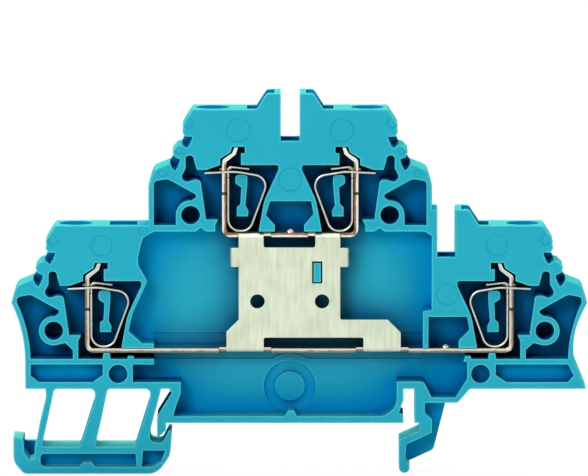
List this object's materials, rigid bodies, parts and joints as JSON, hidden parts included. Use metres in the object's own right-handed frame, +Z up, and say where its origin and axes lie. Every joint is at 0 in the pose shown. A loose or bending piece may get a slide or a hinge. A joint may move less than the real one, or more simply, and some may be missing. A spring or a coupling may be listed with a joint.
{
  "type": "double level terminal block",
  "caption": "Feed-through rail terminal block with clamps on two levels, cage clamp springs on bent current bars and a plate that links both levels, open on its front side.",
  "frame": {"origin": "middle of the body's underside, which rests on the top of the mounting rail", "axes": "+X along the block from the foot with the spring legs to the foot with the claw, +Z up and away from the rail, and the open side faces -Y"},
  "size_m": [0.0796, 0.0052, 0.0533],
  "materials": {
    "polyamide": "satin moulded blue",
    "tinned_copper": "bright tin with bare copper cut edges",
    "spring_steel": "polished strip",
    "link_tin": "matt tin plating"
  },
  "bodies": {
    "root": {"housing": "polyamide", "upper_bar": "tinned_copper", "lower_bar": "tinned_copper", "spring_upper_left": "spring_steel", "spring_upper_right": "spring_steel", "spring_lower_left": "spring_steel", "spring_lower_right": "spring_steel", "link_plate": "link_tin"}
  },
  "joints": []
}
